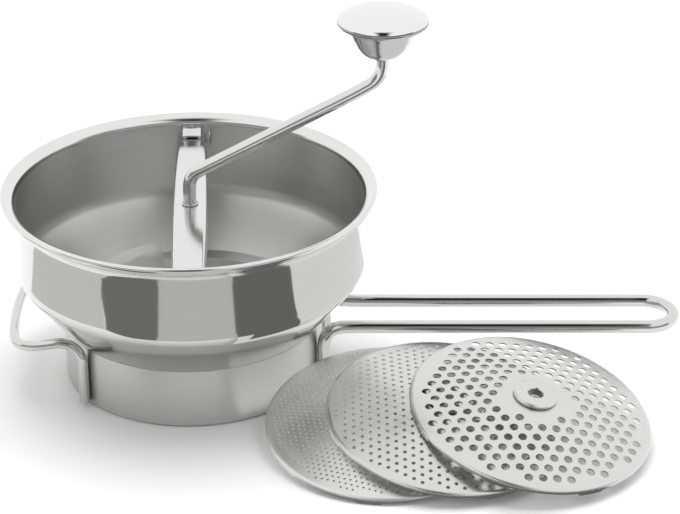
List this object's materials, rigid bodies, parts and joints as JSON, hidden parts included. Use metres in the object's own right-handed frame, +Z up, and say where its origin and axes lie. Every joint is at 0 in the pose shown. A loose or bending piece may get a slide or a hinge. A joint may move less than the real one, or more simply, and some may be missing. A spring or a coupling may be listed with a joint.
{
  "type": "hand cranked food mill",
  "caption": "Hand cranked stainless steel food mill with a bent crank, a sprung pressing blade, wire handles and loose grating discs of differing hole size.",
  "frame": {"origin": "middle of the whole object's footprint, on the surface it stands on", "axes": "+X along the long handle, away from the bowl; +Y away from the side where the loose discs lie; +Z up, along the crank's axis"},
  "size_m": [0.4376, 0.2994, 0.2487],
  "materials": {
    "polished_steel": "bright polished stainless steel",
    "satin_steel": "satin stainless steel, brighter outside",
    "disc_steel": "pressed and perforated stainless steel sheet",
    "spring_steel": "drawn spring wire",
    "bearing_plastic": "natural moulded bearing plastic"
  },
  "bodies": {
    "mill": {"bowl_body": "satin_steel", "base_skirt": "satin_steel", "disc_lug_1": "satin_steel", "disc_lug_2": "satin_steel", "disc_lug_3": "satin_steel", "long_handle": "polished_steel", "helper_handle": "polished_steel", "bracket_back": "polished_steel", "bracket_front": "polished_steel", "bar_stop_back": "satin_steel", "bar_stop_front": "satin_steel"},
    "bar": {"crossbar": "polished_steel", "bar_bush": "bearing_plastic", "upper_spring_seat": "satin_steel", "pressure_spring": "spring_steel"},
    "carriage": {"lower_spring_seat": "satin_steel"},
    "crank": {"crank_rod": "polished_steel", "rod_collar": "polished_steel", "blade_hub": "satin_steel", "hub_pin": "satin_steel", "pressing_blade": "satin_steel", "knob_clip": "spring_steel"},
    "knob": {"knob_cup": "polished_steel", "knob_cap": "polished_steel", "knob_bush": "bearing_plastic"},
    "fine_disc": {"disc_fine": "disc_steel", "disc_fine_hub": "disc_steel"},
    "medium_disc": {"disc_medium": "disc_steel", "disc_medium_hub": "disc_steel"},
    "coarse_disc": {"disc_coarse": "disc_steel", "disc_coarse_hub": "disc_steel"}
  },
  "joints": [
    {"name": "crossbar_twist", "type": "hinge", "parent": "mill", "child": "bar", "pos_m": [-0.09878, 0.02965, 0], "axis": [0, 0, 1], "range_deg": [0, 15]},
    {"name": "blade_lift", "type": "slide", "parent": "bar", "child": "carriage", "axis": [0, 0, 1], "range_m": [0, 0.004], "stiffness_N_per_m": 600, "springref_m": -0.008, "deforming": ["pressure_spring"]},
    {"name": "crank_spin", "type": "hinge", "parent": "carriage", "child": "crank", "pos_m": [-0.09878, 0.02965, 0], "axis": [0, 0, 1], "continuous": true},
    {"name": "knob_spin", "type": "hinge", "parent": "crank", "child": "knob", "pos_m": [0.02342, 0.02965, 0.215], "axis": [0, 0, 1], "continuous": true},
    {"name": "disc_stack_slide", "type": "slide", "parent": "mill", "child": "fine_disc", "axis": [0.7649, -0.6441, 0], "range_m": [0, 0.1]},
    {"name": "medium_disc_lift", "type": "slide", "parent": "fine_disc", "child": "medium_disc", "axis": [0, 0, 1], "range_m": [0, 0.06]},
    {"name": "coarse_disc_lift", "type": "slide", "parent": "medium_disc", "child": "coarse_disc", "axis": [0, 0, 1], "range_m": [0, 0.06]}
  ]
}
